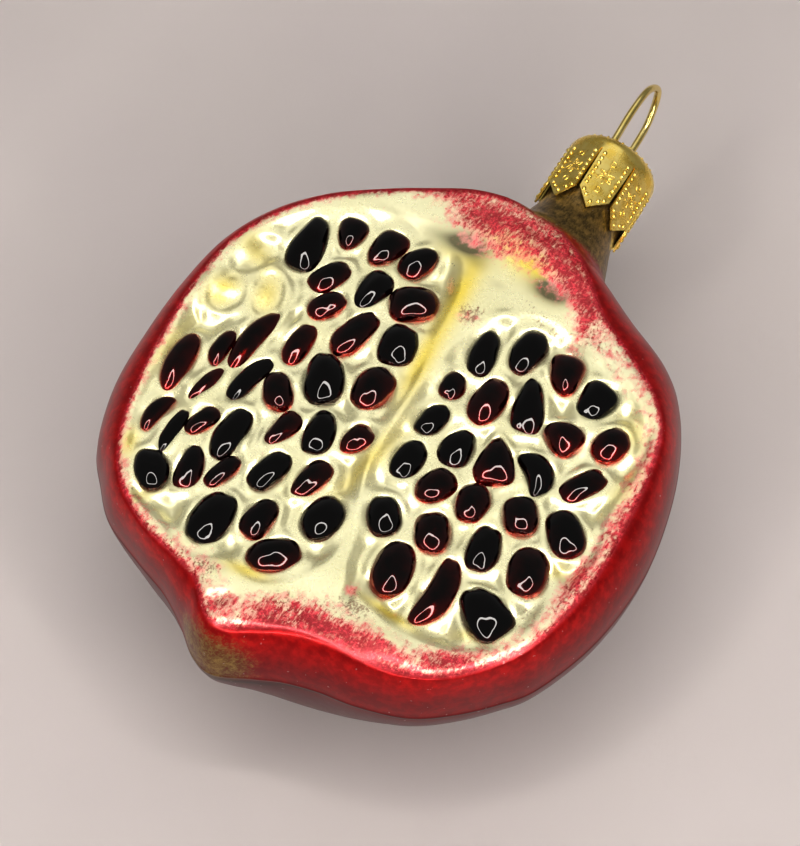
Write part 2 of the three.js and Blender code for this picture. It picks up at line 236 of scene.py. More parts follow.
def tube(path, radius, sides, closed=True):
    """Rings of points round a path, and the faces between them."""
    path = np.asarray(path, float)
    count = len(path)
    if closed:
        ahead = np.roll(path, -1, 0) - np.roll(path, 1, 0)
    else:
        ahead = np.gradient(path, axis=0)
    ahead /= np.linalg.norm(ahead, axis=1)[:, None]
    spare = np.array([0.0, 0.0, 1.0]) if abs(ahead[:, 2]).max() < 0.95 else np.array([1.0, 0.0, 0.0])
    across = np.cross(ahead, spare)
    across /= np.linalg.norm(across, axis=1)[:, None]
    upward = np.cross(across, ahead)
    turn = np.arange(sides) / sides * 2 * math.pi
    ring = across[:, None] * np.cos(turn)[None, :, None] + upward[:, None] * np.sin(turn)[None, :, None]
    points = (path[:, None] + ring * radius).reshape(-1, 3)
    faces = []
    for i in range(count if closed else count - 1):
        faces += faces_between(i * sides, (i + 1) % count * sides, sides)
    if not closed:
        faces += [tuple(range(sides))[::-1], tuple(range(len(points) - sides, len(points)))]
    return points, faces


side_way = Vector((math.cos(CAMERA_TURN), math.sin(CAMERA_TURN), 0))
up_way = to_camera.cross(side_way)
ring_middle = Vector((0, 0, FACE_Z)) + to_camera * CAMERA_AWAY
ring_radius = CAMERA_AWAY * math.tan(RING_ANGLE)
circle = [
    ring_middle + ring_radius * (math.cos(t) * side_way + math.sin(t) * up_way)
    for t in np.linspace(0, 2 * math.pi, 73)[:-1]
]
ring_lamp = mesh_object("ring_lamp", *tube(circle, RING_TUBE, 8), glow)
ring_lamp.visible_camera = False
print("lamps:", panel.name, "and a ring of", round(ring_radius), "mm")

# %% [markdown]
# ## The glass
# The face is a relief, so it is a fine square grid bent to fill the outline of the fruit, lifted by a height
# that is a sum of simple shapes: two sunk chambers, a soft collar round every seed, a few folds and dimples.
# The wall and the round back are rings below it. A grid is used, and not a sculpt, because each shape then
# has a number that can be changed.

# %% Outlines of the mould
BODY_MIDDLE = np.array([-1.0, 0.0])
BACK_RADIUS = 31.5
FLAT_RADIUS = 7.0
SEAM_OUTLINE = [
    [-2.5, -34.3], [1.6, -32.3], [4.7, -30.8], [8.5, -29.7], [13, -28.9], [18.5, -27], [22.6, -23.9],
    [26, -20.2], [28.6, -16.4], [30.9, -8.8], [31.5, -1], [30.7, 6], [28.2, 14.4], [24.4, 21.6], [20.2, 25.8],
    [14, 28.8], [9.5, 31], [5.5, 32.8], [0, 33.6], [-5.5, 33.9], [-10.2, 33], [-14, 31], [-19.5, 27.5],
    [-25.6, 23.1], [-30, 17.6], [-32.6, 11], [-33.4, 3.5], [-33.2, -4], [-32.2, -11.3], [-29.6, -18],
    [-26.5, -21.7], [-22.8, -25.1], [-17, -27.5], [-12.5, -29.1], [-8.6, -31.4], [-5.6, -33.6],
]
FACE_OUTLINE = [
    [-4, -32.2], [-1.5, -31.8], [1, -30.2], [4, -28.4], [8, -27.4], [14, -27], [18, -25.9], [22, -23.4],
    [25.5, -19.2], [27.7, -14.5], [28.9, -7], [28.7, 0], [27.6, 8], [25.6, 15], [22, 19.2], [17, 22.2],
    [12, 25], [8, 28.4], [4, 31.2], [0, 32.6], [-4.5, 32.8], [-9.5, 31.6], [-14, 29], [-19, 25.6],
    [-24, 21.4], [-28, 16], [-30.2, 10], [-30.5, 3], [-29.7, -4], [-28.5, -10.5], [-26.2, -17.8],
    [-22.6, -23], [-17.5, -26.2], [-12, -27.7], [-8.5, -28.8], [-6, -31],
]
LEFT_CHAMBER = [
    [-0.8, -23.6], [1.9, -19.5], [2, -15], [0.9, -10.5], [-0.9, -6.5], [-1.6, -1], [-2.2, 5], [-3.4, 11],
    [-4.4, 17], [-6.8, 22], [-11, 23.3], [-16, 22.6], [-21.5, 19.8], [-25.5, 16], [-28.4, 9.5], [-28.9, 2],
    [-28, -6], [-26.6, -12], [-24.4, -18], [-21, -22.8], [-15, -24.6], [-10.5, -26], [-6.5, -24.4],
    [-3.5, -25],
]
RIGHT_CHAMBER = [
    [11, -20.9], [16, -20.9], [21.5, -19.3], [25, -15.5], [25.2, -9], [26.6, -3], [25.2, 3], [24.8, 11],
    [22, 15.5], [17.5, 18.2], [12, 19.3], [7, 20], [3, 18], [0.8, 14], [0.2, 8], [0.3, 2], [0.5, -4],
    [1.6, -9.5], [4.2, -14], [6.2, -19],
]


def cubic_between(before, start, end, after, steps):
    """Points from each start to its end, on a smooth curve that also heeds the corners either side."""
    t = (np.arange(steps) / steps)[None, :, None]
    a, b, c, d = before[:, None], start[:, None], end[:, None], after[:, None]
    cubic = 2 * b + (c - a) * t + (2 * a - 5 * b + 4 * c - d) * t**2 + (3 * b - a - 3 * c + d) * t**3
    return (cubic / 2).reshape(-1, start.shape[1])


def closed_curve(corners, steps=24):
    """A smooth closed curve through the corners."""
    p = np.asarray(corners, float)
    return cubic_between(np.roll(p, 1, 0), p, np.roll(p, -1, 0), np.roll(p, -2, 0), steps)


def reach(corners, angle):
    """How far an outline is from the body's middle in each direction."""
    ray = closed_curve(corners) - BODY_MIDDLE
    turn = np.arctan2(ray[:, 1], ray[:, 0])
    order = np.argsort(turn)
    return np.interp(angle, turn[order], np.hypot(*ray.T)[order], period=2 * math.pi)


def inside_by(corners, x, y):
    """Distance in from a closed outline, negative outside it."""
    line = closed_curve(corners, 6)
    nearest = np.full(x.shape, 1e9)
    within = np.zeros(x.shape, bool)
    for (ax, ay), (bx, by) in zip(line, np.roll(line, -1, 0)):
        along = ((x - ax) * (bx - ax) + (y - ay) * (by - ay)) / ((bx - ax) ** 2 + (by - ay) ** 2)
        along = np.clip(along, 0, 1)
        nearest = np.minimum(nearest, np.hypot(x - ax - along * (bx - ax), y - ay - along * (by - ay)))
        if ay != by:
            crosses = (ay > y) != (by > y)
            within ^= crosses & (x < (bx - ax) * (y - ay) / (by - ay) + ax)
    return np.where(within, nearest, -nearest)


print("seam outline reaches", round(reach(SEAM_OUTLINE, 0.0), 2), "mm to the right")

# %% The seeds' places
# Middle across and along the face, length, width, which way the narrow end points in degrees from +X,
# how much it narrows, how far its middle is bent, and how thinly the red lacquer lies on it
SEEDS = [
    [-22.1, 14.7, 7.6, 3.9, 99, 0.25, 0, 0.05], [-18.7, 18.5, 4.4, 3.3, 281, 0.3, 0, 0.4],
    [-14.2, 19, 5.3, 3.5, 259, 0.2, 0, 0.4], [-10, 19.4, 5, 3.3, 65, 0.1, 0, 0.35],
    [-17.5, 12.2, 5.3, 3.3, 62, 0.1, 0, 0.45], [-12.4, 13.2, 5.6, 3.4, 266, 0.2, 0, 0.1],
    [-7.4, 14.2, 5.7, 4.6, 35, 0.05, 0, 0.45], [-15.7, 8.8, 4.6, 3, 60, 0.1, 0, 0.5],
    [-10.9, 7.3, 6.8, 3.5, 76, 0.05, 0, 0.5], [-5.8, 8.6, 5.5, 4.4, 105, 0.05, 0, 0.15],
    [-5.2, 2.2, 5.9, 4.4, 270, 0.15, 0, 0.5], [-15.5, 2.7, 5.8, 2.8, 93, 0.05, 0, 0.6],
    [-10.5, 0.4, 6.4, 4.6, 120, 0.1, 0, 0.05], [-20.2, 0.5, 8.8, 2.6, 86, 0, 0.3, 0.55],
    [-22.6, -2.4, 5, 2.1, 94, 0, 0.2, 0.5], [-25.6, -6.4, 7.7, 3, 97, 0, 0.2, 0.6],
    [-21.4, -7.4, 5.5, 1.8, 79, 0, 0.2, 0.65], [-17.6, -4.3, 7, 2.5, 80, 0, 0.3, 0.15],
    [-14, -3.8, 5, 3.5, 128, 0.1, 0, 0.5], [-10.8, -7.7, 5.2, 2.6, 258, 0.3, 0, 0.55],
    [-7, -5.8, 5.6, 3.6, 103, 0.05, 0, 0.1], [-3, -4.2, 4.2, 3.2, 250, 0.2, 0, 0.65],
    [-24, -13.5, 5.2, 2, 84, 0, 0.5, 0.5], [-21.1, -14.4, 6, 1.9, 94, 0, 0.1, 0.15],
    [-19, -11.6, 4.5, 2.5, 250, 0.2, 0, 0.45], [-15.4, -11.2, 6.8, 3.5, 92, 0, 0, 0.1],
    [-9, -12.9, 5.6, 3.4, 80, 0, 0, 0.1], [-4.5, -11.2, 5.4, 3.1, 258, 0.15, 0, 0.45],
    [-13.4, -15.7, 5, 2.3, 76, 0, 0, 0.4], [-16.9, -17.3, 5.6, 2.9, 106, 0.1, -0.2, 0.35],
    [-20.2, -19.9, 5.1, 3.9, 310, 0.1, 0, 0.1], [-11.1, -21.4, 7.2, 4.5, 87, 0, 0, 0.05],
    [-6.6, -18.5, 5.4, 3.4, 88, 0.05, 0, 0.35], [-2.7, -21.4, 6, 4.1, 42, 0, 0, 0.4],
    [-0.6, -14.7, 5.6, 4.5, 80, 0, 0, 0.1],
    [2.9, 13.1, 6.1, 3.3, 104, 0.1, 0, 0.1], [7, 16, 5.8, 3.8, 270, 0.1, 0, 0.15],
    [12.3, 15.8, 5.3, 3.9, 295, 0.25, 0, 0.6], [16.9, 14.6, 5.1, 4, 268, 0.2, 0, 0],
    [21.2, 10.7, 4.7, 3.9, 70, 0.05, 0, 0.6], [21.4, 4.5, 5.7, 3.1, 62, 0, 0, 0.45],
    [16.2, 8.6, 4.6, 4.1, 172, 0.3, 0, 0.6], [10.9, 9.9, 6.9, 3.5, 112, 0.25, 0, 0.2],
    [6.7, 7.9, 6.5, 3.8, 94, 0.05, 0, 0.6], [2.2, 7.5, 3.7, 2.9, 100, 0, 0, 0.4],
    [2.7, 2.6, 4.6, 3, 75, 0, 0, 0.1], [7, 1.1, 5, 3.6, 88, 0.2, 0, 0.1],
    [11.6, 1.9, 6.2, 4.1, 117, 0.5, 0, 0.5], [16, 3, 5.8, 3.2, 143, 0, -0.6, 0.05],
    [22.9, -1.8, 5.8, 4.3, 315, 0, 0, 0.3], [17.6, -2.5, 5, 4.1, 310, 0.1, 0, 0.45],
    [12.2, -4, 4.9, 3.8, 280, 0.05, 0, 0.5], [7.6, -4.5, 4.8, 3.9, 250, 0.1, 0, 0.5],
    [3.2, -3.3, 5.3, 3.4, 92, 0, 0, 0.1], [4.9, -10.7, 5, 4, 125, 0.05, 0, 0.15],
    [10.4, -9.5, 4.9, 4.1, 120, 0.05, 0, 0.45], [16.3, -8.2, 5.7, 3.8, 103, 0.05, 0, 0.2],
    [21.9, -8.1, 6, 4.4, 110, 0, 0, 0.45], [9.4, -15.8, 6.9, 4.6, 105, 0, 0, 0.45],
    [14.8, -15.6, 9.2, 3.3, 92, 0, -0.6, 0.55], [20.6, -14.9, 6.8, 5.1, 155, 0.25, 0, 0.1],
]
EMPTY_CELLS = [  # cells that hold no seed, written in the same way
    [-26.4, 10.2, 6.4, 4, 70, 0, 0, 0], [-26.4, 4, 5.4, 4.4, 90, 0, 0, 0], [-22.3, 6.4, 6, 3.6, 110, 0, 0, 0],
]
PITH_DEPTH = 0.75  # how far the pith of the chambers lies below the rim
print(len(SEEDS), "seeds and", len(EMPTY_CELLS), "empty cells")

# %% Height of the face
COLLAR_RISE = 0.3  # of the pith's soft collar round each seed
VALLEY_DEPTH = 0.45  # of the hollows between the collars
PITH_LUMPS = 0.34  # unevenness of the chambers
FACE_LUMPS = 0.2  # unevenness of the whole face
EDGE_ROUND = 0.3  # how far the face's edge is rounded down
DENTS = [  # middle, radius across and along, turn in degrees, depth
    [-6, 24.2, 2.2, 1.3, 10, 0.4], [5.1, 24.5, 1.7, 1.1, 0, 0.35], [-4.9, -29.4, 1.7, 0.8, 40, 0.35],
    [-12, 23.8, 5, 0.9, 2, 0.35], [26.3, -6, 0.8, 4.5, 0, 0.4], [24.6, 14, 0.9, 3.5, 18, 0.3],
    [-27.2, -3, 0.7, 3, 0, 0.3], [-18, 5.3, 1.6, 0.5, 80, 0.4], [-19.5, -22.6, 2.6, 0.7, 65, 0.3],
    [6.8, -20.2, 0.6, 1.8, 15, 0.5], [9.4, -18.9, 2.2, 0.5, -20, 0.3], [-1.8, 5, 0.45, 6, 8, 0.12],
]
SWELLS = [  # the same for soft bumps
    [-3, 18, 1.8, 6, 10, 0.3], [-1, 0, 1.2, 7, 5, 0.25], [2.7, 18.2, 1.6, 1, 20, 0.35],
    [9, 23.5, 3, 1.6, -30, 0.3], [-1, 28, 6, 2.2, 0, 0.5], [-26.4, 10.2, 3.2, 2.2, -25, 0.4],
    [-26.4, 4, 2.6, 2.8, 0, 0.35], [-22.3, 6.4, 2, 3, 20, 0.4], [12, -24, 7, 1.4, 5, 0.3],
]


def spot(x, y, middle_x, middle_y, across, along, turn):
    """A round or oval spot: 1 in its middle, fading to 0 outside it."""
    c, s = math.cos(math.radians(turn)), math.sin(math.radians(turn))
    u = ((x - middle_x) * c + (y - middle_y) * s) / across
    v = ((y - middle_y) * c - (x - middle_x) * s) / along
    return np.exp(-(u * u + v * v))


def to_seed(x, y, seed):
    """Rough distance out from a seed's outline, negative inside it."""
    middle_x, middle_y, length, width, turn, taper, bend, _ = seed
    c, s = math.cos(math.radians(turn)), math.sin(math.radians(turn))
    u = ((x - middle_x) * c + (y - middle_y) * s) / (length / 2)
    v = ((y - middle_y) * c - (x - middle_x) * s) / (width / 2) - bend * (0.5 - np.clip(u * u, 0, 1))
    v = v / np.clip(1 - taper * u, 0.4, 2)
    far = np.hypot(u, v) + 1e-9
    return (far - 1) * far / (np.hypot(u / (length / 2), v / (width / 2)) + 1e-9)


def nearest_seed(x, y, soft=0.35):
    """Distance to the nearest seed or empty cell, rounded off where two are as near."""
    distances = np.array([to_seed(x, y, seed) for seed in SEEDS + EMPTY_CELLS])
    return -soft * np.log(np.exp(-np.clip(distances, -5, 40) / soft).sum(0))


def lumps(x, y, per_mm, seed):
    """Slow, smooth unevenness of blown glass, between about -1 and 1."""
    places = zip((x * per_mm).tolist(), (y * per_mm).tolist())
    return np.array([noise.noise((a, b, seed)) for a, b in places]) * 1.6


def face_height(x, y, from_edge):
    """Height of the face over the flat floor that the fruit lies on."""
    deep = np.maximum(inside_by(LEFT_CHAMBER, x, y), inside_by(RIGHT_CHAMBER, x, y))
    sunk = smooth_step(-1.1, 1.7, deep)
    near = nearest_seed(x, y)
    collar = np.exp(-(((near - 0.4) / 0.6) ** 2)) * COLLAR_RISE
    valley = smooth_step(0.9, 2.2, near) * VALLEY_DEPTH
    height = FACE_Z - sunk * PITH_DEPTH + sunk * (collar - valley)
    height += sunk * PITH_LUMPS * lumps(x, y, 0.3, 1.0) + FACE_LUMPS * lumps(x, y, 0.14, 5.0)
    for middle_x, middle_y, across, along, turn, depth in DENTS:
        height -= depth * spot(x, y, middle_x, middle_y, across, along, turn)
    for middle_x, middle_y, across, along, turn, rise in SWELLS:
        height += rise * spot(x, y, middle_x, middle_y, across, along, turn)
    edge = np.clip(1 - from_edge / 1.6, 0, 1)
    settle = smooth_step(0.0, 2.0, from_edge)
    return FACE_Z + (height - FACE_Z) * settle - EDGE_ROUND * edge**2


print("septum's height:", face_height(np.zeros(1), np.zeros(1), np.full(1, BACK_RADIUS)).round(2), "mm")

# %% The shell of the fruit
GRID = 216  # points along a side of the face's grid
WALL_RINGS = 13
BACK_RINGS = 20
RIM_LEAN = 0.25  # how soon the wall turns down from the face
SEAM_RIDGE = 0.09  # how far the mould's seam stands out


def disc_grid(count):
    """A square grid bent to fill the unit circle: points, faces and the border in order."""
    side = np.linspace(-1, 1, count)
    u, v = np.meshgrid(side, side)
    x, y = u * np.sqrt(1 - v * v / 2), v * np.sqrt(1 - u * u / 2)
    index = np.arange(count * count).reshape(count, count)
    faces = np.stack([index[:-1, :-1], index[:-1, 1:], index[1:, 1:], index[1:, :-1]], -1).reshape(-1, 4)
    border = np.concatenate([index[0, :-1], index[:-1, -1], index[-1, :0:-1], index[:0:-1, 0]])
    return x.ravel(), y.ravel(), faces, border


def shell():
    """The whole outside of the fruit without its neck, as points and faces."""
    x, y, faces, border = disc_grid(GRID)
    share, angle = np.hypot(x, y), np.arctan2(y, x)
    edge = reach(FACE_OUTLINE, angle)
    x, y = BODY_MIDDLE[0] + share * edge * np.cos(angle), BODY_MIDDLE[1] + share * edge * np.sin(angle)
    z = face_height(x, y, (1 - share) * edge)
    rings = [np.stack([x, y, z], 1)]
    faces = faces.tolist()
    above, turn, top = border, angle[border], z[border]
    face_reach, seam_reach = edge[border], reach(SEAM_OUTLINE, angle[border])
    count = len(border)

    def add_ring(out, height):
        nonlocal above
        first = sum(len(r) for r in rings)
        out = out + SEAM_RIDGE * np.exp(-(((height - SEAM_Z) / 0.16) ** 2))
        ring = [BODY_MIDDLE[0] + out * np.cos(turn), BODY_MIDDLE[1] + out * np.sin(turn), height]
        rings.append(np.stack(ring, 1))
        below = np.arange(first, first + count)
        for i in range(count):
            j = (i + 1) % count
            faces.append((above[i], below[i], below[j], above[j]))
        above = below

    for bow in [*np.linspace(0, math.pi / 2 - 0.07, WALL_RINGS)[1:], math.pi / 2 - 0.03, math.pi / 2]:
        down = RIM_LEAN * math.sin(bow) + (1 - RIM_LEAN) * (1 - math.cos(bow))
        add_ring(face_reach + (seam_reach - face_reach) * math.sin(bow), top + (SEAM_Z - top) * down)
    for bow in [0.009, 0.02, *np.linspace(0.05, math.pi / 2, BACK_RINGS)]:
        rounded = seam_reach + (BACK_RADIUS - seam_reach) * smooth_step(0, 0.35, bow / (math.pi / 2))
        out = FLAT_RADIUS + (rounded - FLAT_RADIUS) * math.cos(bow)
        add_ring(out, np.full(count, SEAM_Z * (1 - math.sin(bow))))
    points = np.concatenate([*rings, [[*BODY_MIDDLE, 0.0]]])
    for i in range(count):
        faces.append((above[(i + 1) % count], above[i], len(points) - 1))
    return points, faces


# %% The neck
NECK_LEAN = math.radians(3)
NECK_FOOT = (0.4, 34.0)  # where the leaning axis starts
NECK_PROFILE = [
    [7.9, 28], [7.7, 30.5], [7.2, 32.4], [6.5, 34], [5.8, 35.6], [5.3, 37], [5.05, 38.4], [5.05, 47],
]


def leaning(points):
    """Turns points built about the Y axis onto the leaning axis of the neck."""
    x, y, z = np.asarray(points, float).T
    y = y - NECK_FOOT[1]
    c, s = math.cos(NECK_LEAN), math.sin(NECK_LEAN)
    return np.stack([NECK_FOOT[0] + x * c - y * s, NECK_FOOT[1] + x * s + y * c, z + SEAM_Z], 1)


def turned(profile, sides):
    """A profile of radius and distance, turned about the Y axis and closed at both ends."""
    radius, along = np.asarray(profile, float).T
    turn = np.arange(sides) / sides * 2 * math.pi
    points = [[r * math.sin(t), y, r * math.cos(t)] for r, y in zip(radius, along) for t in turn]
    faces = []
    for k in range(len(radius) - 1):
        faces += faces_between(k * sides, (k + 1) * sides, sides)
    faces.append(tuple(range(sides))[::-1])
    faces.append(tuple(range(len(points) - sides, len(points))))
    return np.array(points), faces


neck_along = np.linspace(28, 47, 58)
neck_radius = np.interp(neck_along, *np.array(NECK_PROFILE, float).T[::-1])
for _ in range(6):
    neck_radius[1:-1] = (neck_radius[:-2] + 2 * neck_radius[1:-1] + neck_radius[2:]) / 4
neck_points, neck_faces = turned(np.stack([neck_radius, neck_along], 1), 96)
print("neck of", len(neck_faces), "faces")

# %% [markdown]
# ## The painted glass
# The lacquer is sprayed on, so its colours fade into each other through clouds of fine grains. Each vertex
# stores how much of each colour was sprayed there, and the material breaks that amount up into grains. Some
# stored amounts are painted shade rather than paint: olive in the hollows of the face, a darker red towards
# the bottom of the wall, and a dark line under the mould seam. Pale specks over the glass are painted glints.
# Under the lacquer lies the silvering, so the finish is partly a metal.

# %% The paints
CREAM = [(0.78, 0.73, 0.4, 1), (0.9, 0.87, 0.58, 1)]  # where there are two tones, the clouds mix them
YELLOW = (0.88, 0.68, 0.08, 1)
# painted shade: the dark olive laid into the dents and hollows of the face
PAINTED_SHADE_OLIVE = (0.11, 0.1, 0.045, 1)
BLUSH = (0.86, 0.32, 0.28, 1)
BROWN = (0.17, 0.06, 0.035, 1)
CRIMSON = [(0.36, 0.006, 0.012, 1), (0.7, 0.02, 0.05, 1)]
DARK_DOTS = (0.3, 0.008, 0.016, 1)
RIND_RED = [(0.35, 0.003, 0.004, 1), (0.58, 0.008, 0.008, 1)]
# painted shade: the darker red of the lower wall and the back
UNDERSIDE_SHADE_RED = (0.1, 0.008, 0.011, 1)
OLIVE = [(0.06, 0.042, 0.012, 1), (0.34, 0.21, 0.06, 1)]
# painted shade: the dark line under the mould seam
SEAM_SHADOW = (0.02, 0.003, 0.003, 1)
# painted glints: pale specks of sparkle over the glass
GLINT_SPECK_PALE = (0.8, 0.75, 0.7, 1)


def stored_amount(tree, name):
    """How much the mesh stores here under a name: a sprayed colour, painted shade, or another number."""
    return tree.node("ShaderNodeAttribute", {"attribute_name": name}, out=2)


glass_finish, tree, shader = new_finish("painted_glass", Coat_Roughness=0.16, Coat_IOR=1.45)
# "under" and "seam" hold painted shade: a darker red towards the bottom, and a dark line under the mould seam
crimson, brown, olive, yellow, painted_shade, rind, under, seam = (
    stored_amount(tree, name) for name in ("crimson", "brown", "olive", "yellow", "painted_shade", "rind", "under", "seam")
)
print("glass finish:", glass_finish.name, "with", len(tree.tree.nodes), "nodes so far")

# %% Clouds and grains of the spray, and the specks of painted glints
where = tree.node("ShaderNodeTexCoord", out="Object")
fine_cloud = tree.grain(where, 3.4, detail=2.0, rough=0.6)
wide_cloud = tree.grain(where, 0.9, detail=3.0, rough=0.6)
slow_cloud = tree.grain(where, 0.12, detail=2.0)
stretched = tree.node("ShaderNodeMapping", {}, {"Vector": where, "Scale": (1, 0.35, 1)})
streaks = tree.grain(stretched, 3.0, detail=3.0, rough=0.7, distortion=0.6)
mixed_cloud = (streaks * 0.6 + wide_cloud * 0.4 - 0.5) * 2.8
fine_grain = (fine_cloud * 0.5 + streaks * 0.5 - 0.5) * 3.2
# pale specks: painted glints of sparkle
glint_specks = tree.smooth(tree.grain(where, 1.9, detail=1.0), 0.75, 0.78)

# %% Layers of paint on the pith, with painted shade in its hollows
pith = tree.blend(yellow, tree.blend(slow_cloud, *CREAM), YELLOW)
# painted shade: the dents and the hollows between the seeds are darkened to olive
pith = tree.blend(painted_shade * 0.9, pith, PAINTED_SHADE_OLIVE)
blush = tree.smooth(crimson + (wide_cloud - 0.5) * 1.8, 0.05, 0.6) * tree.smooth(crimson, 0.02, 0.2) * 0.7
pith = tree.blend(blush, pith, BLUSH)
brown_grain = tree.smooth(brown + fine_grain, 0.35, 0.75) * tree.smooth(brown, 0.05, 0.3)
pith = tree.blend(brown_grain * 0.75, pith, BROWN)
red_grain = tree.blend(tree.smooth(wide_cloud, 0.35, 0.65), *CRIMSON)
painted = tree.blend(tree.smooth(crimson + mixed_cloud, 0.3, 0.88) * 0.92, pith, red_grain)
fine_dots = tree.smooth(crimson * 0.7 + fine_grain, 0.5, 0.75)
painted = tree.blend(fine_dots * 0.8, painted, DARK_DOTS)

# %% Layers of paint on the rind, the neck and the flower end, with painted shade and painted glints
wall_red = tree.blend(tree.smooth(wide_cloud, 0.35, 0.7), *RIND_RED)
# painted shade: the wall turns a darker red towards its bottom and over the back
wall_red = tree.blend(under, wall_red, UNDERSIDE_SHADE_RED)
painted = tree.blend(rind, painted, wall_red)
stem = tree.blend(tree.smooth(mixed_cloud, -0.5, 0.6), *OLIVE)
painted = tree.blend(tree.smooth(olive + mixed_cloud * 0.5, 0.2, 0.85), painted, stem)
# painted shade: a dark line under the mould seam
painted = tree.blend(seam * 0.95, painted, SEAM_SHADOW)
# painted glints: pale specks over the glass
painted = tree.blend(glint_specks * 0.2, painted, GLINT_SPECK_PALE)

# %% Silvering and gloss of the glass
# where shade is painted, the glass is also rougher, less of a metal and less glossy
roughness = 0.27 + rind * 0.13 + painted_shade * 0.25 + (wide_cloud - 0.5) * 0.08
metal = 0.7 + rind * 0.1 - painted_shade * 0.65 - tree.smooth(crimson, 0.2, 0.8) * (1 - rind) * 0.25
ripple = tree.node("ShaderNodeBump", {}, {"Strength": 0.15, "Distance": 0.02 * MM, "Height": mixed_cloud})
polish = 0.24 - tree.smooth(painted_shade, 0.1, 0.9) * 0.2
feed(tree, shader, Base_Color=painted, Roughness=roughness, Metallic=metal, Coat_Weight=polish, Normal=ripple)
print("glass finish:", len(tree.tree.nodes), "nodes")

# %% The shell and the neck become one glass
FILLET_ALONG = 32.8  # where the neck leaves the fruit, on its axis


def add_boolean(made, operation, other):
    """Adds a Boolean modifier that welds another object on or cuts it out."""
    modifier = made.modifiers.new(operation.lower(), "BOOLEAN")
    modifier.operation = operation
    modifier.solver = "EXACT"
    modifier.object = other


def applied(made):
    """The object's mesh with its modifiers worked in, which are then removed."""
    bpy.context.view_layer.update()
    mesh = bpy.data.meshes.new_from_object(made.evaluated_get(bpy.context.evaluated_depsgraph_get()))
    made.modifiers.clear()
    return mesh


fruit = mesh_object("fruit_glass", *shell(), glass_finish)
neck = mesh_object("neck_glass", leaning(neck_points), neck_faces, glass_finish)
add_boolean(fruit, "UNION", neck)
welded = applied(fruit)
fruit.data = welded
bpy.data.objects.remove(neck)
print("welded glass:", len(welded.vertices), "vertices")


def axis_of_neck(points):
    """Distance along the leaning axis, and distance from it."""
    x, y, z = points[:, 0] - NECK_FOOT[0], points[:, 1] - NECK_FOOT[1], points[:, 2] - SEAM_Z
    c, s = math.cos(NECK_LEAN), math.sin(NECK_LEAN)
    return y * c - x * s + NECK_FOOT[1], np.hypot(x * c + y * s, z)


def soften_weld(mesh, rounds=40):
    """Relaxes the corner where the neck meets the fruit into a fillet."""
    points = np.empty(len(mesh.vertices) * 3, np.float32)
    mesh.vertices.foreach_get("co", points)
    points = points.reshape(-1, 3).astype(float) / MM
    ends = np.empty(len(mesh.edges) * 2, np.int32)
    mesh.edges.foreach_get("vertices", ends)
    a, b = ends.reshape(-1, 2).T
    along, away = axis_of_neck(points)
    radius = np.interp(along, neck_along, neck_radius)
    share = np.exp(-(((away - radius) / 1.6) ** 2)) * np.exp(-(((along - FILLET_ALONG) / 2.2) ** 2))
    share = np.where((away < 10) & (along > 27), share, 0)[:, None]
    count = len(points)
    links = np.bincount(a, minlength=count) + np.bincount(b, minlength=count)
    for _ in range(rounds):
        total = np.zeros_like(points)
        for axis in range(3):
            total[:, axis] = np.bincount(a, points[b, axis], count) + np.bincount(b, points[a, axis], count)
        points += share * 0.6 * (total / np.maximum(links, 1)[:, None] - points)
    mesh.vertices.foreach_set("co", (points * MM).astype(np.float32).ravel())
    mesh.update()
    return points


glass_points = soften_weld(welded)
